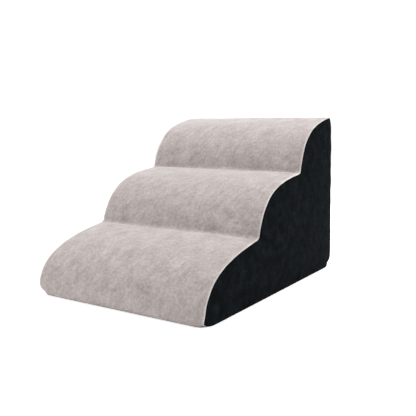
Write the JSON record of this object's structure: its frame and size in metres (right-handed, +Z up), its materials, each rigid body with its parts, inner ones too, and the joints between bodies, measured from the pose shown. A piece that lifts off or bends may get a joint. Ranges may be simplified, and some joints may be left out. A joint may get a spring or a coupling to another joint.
{
  "type": "pet ramp",
  "caption": "Stepped foam pet ramp with rounded treads, a sewn zip-off cover with light plush steps, dark sides and back, and a zip across the back.",
  "frame": {"origin": "on the floor, under the centre of the cover's footprint", "axes": "+Y points from the low front step to the tall back face, the way a pet climbs; +X is the right-hand side when climbing; +Z is up"},
  "size_m": [0.392, 0.548, 0.35],
  "materials": {
    "plush": "matte",
    "suede": "matte",
    "grip_fabric": "matte",
    "foam": "matte",
    "zip_tape": "matte",
    "zip_coil": "satin",
    "zinc": "satin"
  },
  "bodies": {
    "covered_block": {"foam_core": "foam", "top_panel": "plush", "left_side_panel": "suede", "right_side_panel": "suede", "back_panel": "suede", "back_lower_panel": "suede", "base_panel": "grip_fabric", "zip_tape_upper": "zip_tape", "zip_tape_lower": "zip_tape", "zip_coil_upper": "zip_coil", "zip_coil_lower": "zip_coil", "zip_top_stops": "zinc", "zip_bottom_stop": "zinc", "zip_end_tabs": "suede"},
    "slider": {"zip_slider": "zinc"},
    "pull": {"zip_pull": "zinc"}
  },
  "joints": [
    {"name": "slider_slide", "type": "slide", "parent": "covered_block", "child": "slider", "axis": [1, 0, 0], "range_m": [-0.321, 0]},
    {"name": "pull_flip", "type": "hinge", "parent": "slider", "child": "pull", "pos_m": [0.16065, 0.27375, 0.045], "axis": [0, 0, 1], "range_deg": [0, 180]}
  ]
}
